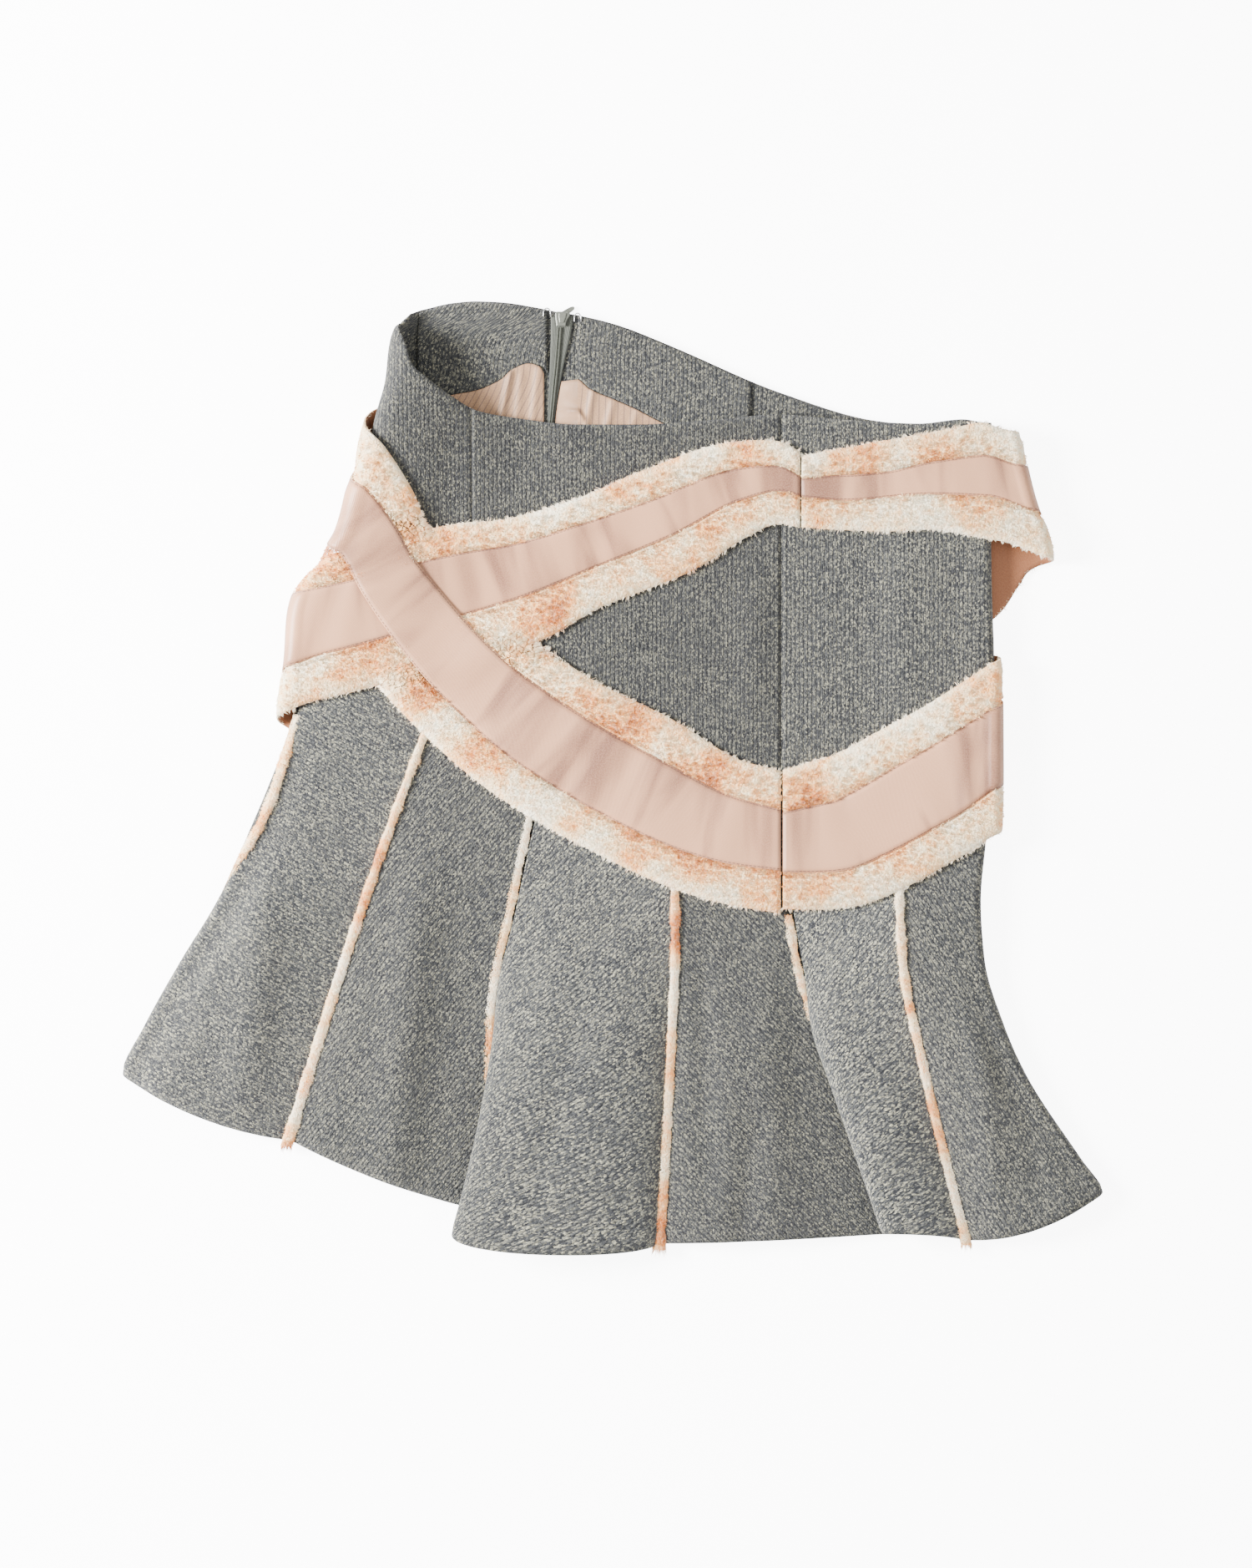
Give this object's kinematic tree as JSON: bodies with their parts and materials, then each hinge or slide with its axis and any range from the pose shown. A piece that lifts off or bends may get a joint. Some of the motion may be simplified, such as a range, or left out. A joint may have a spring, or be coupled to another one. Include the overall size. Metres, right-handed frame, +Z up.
{
  "type": "flared skirt",
  "caption": "Grey knitted flared skirt lying flat, with plush pipings and two crossing plush bands topped by satin ribbon, and a zip at the centre back.",
  "frame": {"origin": "middle of the bounding box at the surface that the skirt lies on", "axes": "+Z up from the surface towards the skirt's front, +Y towards the waist, +X to the viewer's right"},
  "size_m": [0.6222, 0.6044, 0.0336],
  "materials": {
    "knit": "grey marled knit",
    "plush": "cream and peach plush pile",
    "ribbon": "dusty pink satin twill",
    "lining": "striped satin",
    "zip_tape": "woven tape",
    "zip_plastic": "moulded coil",
    "zip_metal": "grey enamel",
    "wire": "plain wire"
  },
  "bodies": {
    "skirt": {"hip_front_left": "knit", "hip_front_right": "knit", "hip_back_left": "knit", "hip_back_right": "knit", "gore_0": "knit", "gore_1": "knit", "gore_2": "knit", "gore_3": "knit", "gore_4": "knit", "gore_5": "knit", "gore_6": "knit", "gore_7": "knit", "gore_8": "knit", "gore_9": "knit", "gore_10": "knit", "gore_11": "knit", "piping_0": "plush", "piping_1": "plush", "piping_2": "plush", "piping_3": "plush", "piping_4": "plush", "piping_5": "plush", "piping_6": "plush", "piping_7": "plush", "piping_8": "plush", "piping_9": "plush", "piping_10": "plush", "piping_11": "plush", "band_low_left_lower": "plush", "band_low_left_upper": "plush", "band_low_right_lower": "plush", "band_low_right_upper": "plush", "band_high_left": "plush", "band_high_right": "plush", "ribbon_low_left": "ribbon", "ribbon_low_right": "ribbon", "ribbon_high_left": "ribbon", "ribbon_high_right": "ribbon", "facing_left": "knit", "facing_right": "knit", "lining_left": "lining", "lining_right": "lining", "zip_tape": "zip_tape", "zip_coil_left": "zip_plastic", "zip_coil_right": "zip_plastic", "zip_slider": "zip_metal", "hook": "wire", "eye": "wire"},
    "pull": {"zip_pull": "zip_metal"}
  },
  "joints": [
    {"name": "pull_swing", "type": "hinge", "parent": "skirt", "child": "pull", "pos_m": [-0.03286, 0.29372, 0.0016], "axis": [-0.5105, 0.8599, 0], "range_deg": [0, 150]}
  ]
}
